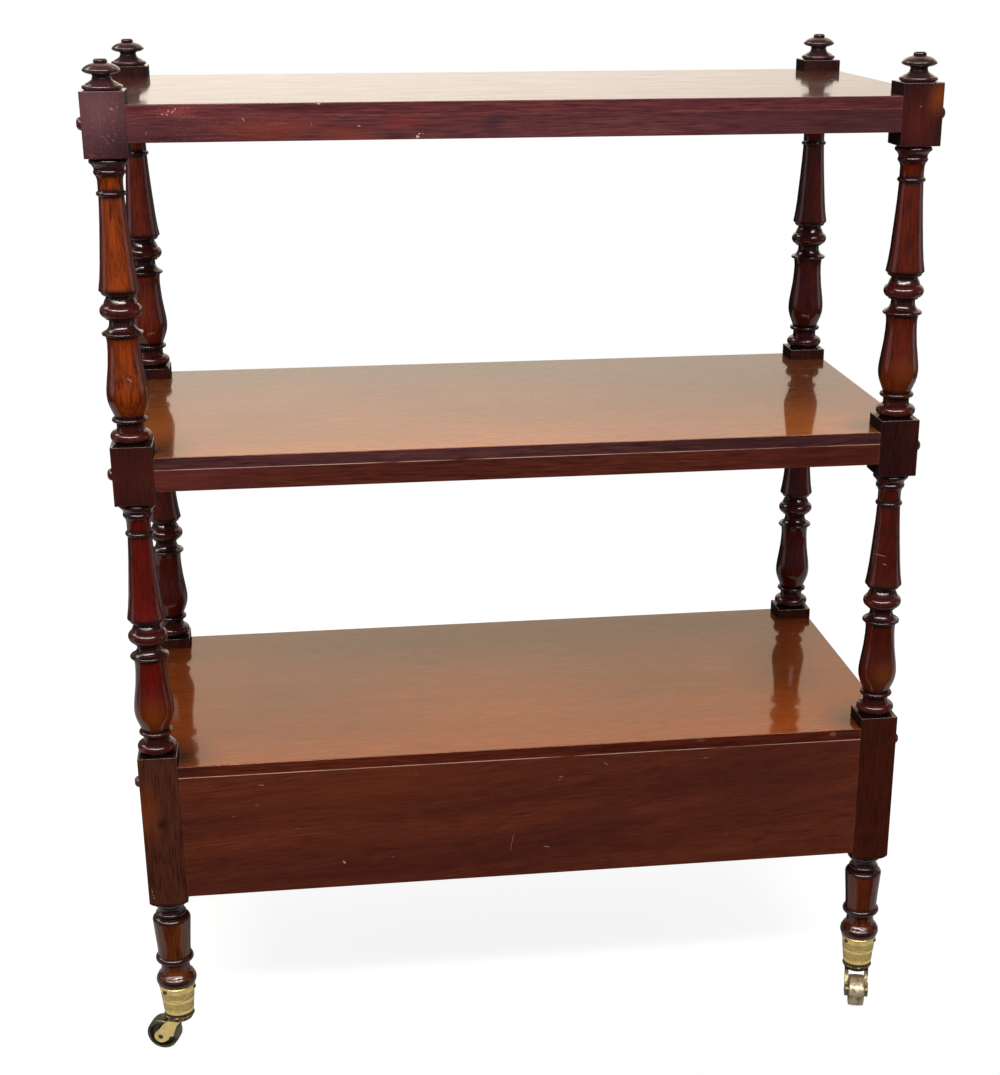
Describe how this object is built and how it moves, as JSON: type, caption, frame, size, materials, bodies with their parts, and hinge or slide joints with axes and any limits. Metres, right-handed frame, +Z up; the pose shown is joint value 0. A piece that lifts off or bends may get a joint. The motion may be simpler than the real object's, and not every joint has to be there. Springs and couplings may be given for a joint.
{
  "type": "three-tier etagere on castors",
  "caption": "Open rectangular whatnot of turned mahogany posts with plain shelves, a deep apron under the lowest, small finials, and brass cup castors that swivel and roll.",
  "frame": {"origin": "on the floor, under the middle of the object", "axes": "+Z up, +X along the shelves to the right seen from the front, -Y towards the front"},
  "size_m": [0.8868, 0.4548, 1.1125],
  "materials": {
    "polished_mahogany": "French-polished, glossy",
    "shelf_mahogany": "French-polished, glossy",
    "plain_mahogany": "bare, sawn",
    "cast_brass": "polished, softly worn",
    "worn_brass": "tarnished and scuffed",
    "steel": "dull, turned"
  },
  "bodies": {
    "frame": {"post_front_left": "polished_mahogany", "finial_front_left": "polished_mahogany", "castor_cup_front_left": "cast_brass", "castor_pin_front_left": "steel", "post_front_right": "polished_mahogany", "finial_front_right": "polished_mahogany", "castor_cup_front_right": "cast_brass", "castor_pin_front_right": "steel", "post_back_left": "polished_mahogany", "finial_back_left": "polished_mahogany", "castor_cup_back_left": "cast_brass", "castor_pin_back_left": "steel", "post_back_right": "polished_mahogany", "finial_back_right": "polished_mahogany", "castor_cup_back_right": "cast_brass", "castor_pin_back_right": "steel", "shelf_bottom": "shelf_mahogany", "apron_front": "polished_mahogany", "apron_back": "polished_mahogany", "apron_left": "polished_mahogany", "apron_right": "polished_mahogany", "shelf_middle": "shelf_mahogany", "rail_middle_front": "polished_mahogany", "rail_middle_back": "polished_mahogany", "rail_middle_left": "polished_mahogany", "rail_middle_right": "polished_mahogany", "shelf_top": "shelf_mahogany", "rail_top_front": "polished_mahogany", "rail_top_back": "polished_mahogany", "rail_top_left": "polished_mahogany", "rail_top_right": "polished_mahogany", "rail_bolts": "steel", "bolt_nuts": "steel", "bolt_caps": "polished_mahogany", "glue_blocks": "plain_mahogany", "shelf_screws": "steel", "cup_screws": "steel"},
    "horn_front_left": {"castor_horn_front_left": "cast_brass", "castor_axle_front_left": "steel"},
    "wheel_front_left": {"castor_wheel_front_left": "worn_brass"},
    "horn_front_right": {"castor_horn_front_right": "cast_brass", "castor_axle_front_right": "steel"},
    "wheel_front_right": {"castor_wheel_front_right": "worn_brass"},
    "horn_back_left": {"castor_horn_back_left": "cast_brass", "castor_axle_back_left": "steel"},
    "wheel_back_left": {"castor_wheel_back_left": "worn_brass"},
    "horn_back_right": {"castor_horn_back_right": "cast_brass", "castor_axle_back_right": "steel"},
    "wheel_back_right": {"castor_wheel_back_right": "worn_brass"}
  },
  "joints": [
    {"name": "swivel_front_left", "type": "hinge", "parent": "frame", "child": "horn_front_left", "pos_m": [-0.4105, -0.188, 0.0427], "axis": [0, 0, 1], "continuous": true},
    {"name": "roll_front_left", "type": "hinge", "parent": "horn_front_left", "child": "wheel_front_left", "pos_m": [-0.42952, -0.18182, 0.019], "axis": [-0.309, -0.9511, 0], "continuous": true},
    {"name": "swivel_front_right", "type": "hinge", "parent": "frame", "child": "horn_front_right", "pos_m": [0.4105, -0.188, 0.0427], "axis": [0, 0, 1], "continuous": true},
    {"name": "roll_front_right", "type": "hinge", "parent": "horn_front_right", "child": "wheel_front_right", "pos_m": [0.40532, -0.20732, 0.019], "axis": [0.9659, -0.2588, 0], "continuous": true},
    {"name": "swivel_back_left", "type": "hinge", "parent": "frame", "child": "horn_back_left", "pos_m": [-0.4105, 0.188, 0.0427], "axis": [0, 0, 1], "continuous": true},
    {"name": "roll_back_left", "type": "hinge", "parent": "horn_back_left", "child": "wheel_back_left", "pos_m": [-0.40532, 0.20732, 0.019], "axis": [-0.9659, 0.2588, 0], "continuous": true},
    {"name": "swivel_back_right", "type": "hinge", "parent": "frame", "child": "horn_back_right", "pos_m": [0.4105, 0.188, 0.0427], "axis": [0, 0, 1], "continuous": true},
    {"name": "roll_back_right", "type": "hinge", "parent": "horn_back_right", "child": "wheel_back_right", "pos_m": [0.40532, 0.20732, 0.019], "axis": [-0.9659, -0.2588, 0], "continuous": true}
  ]
}
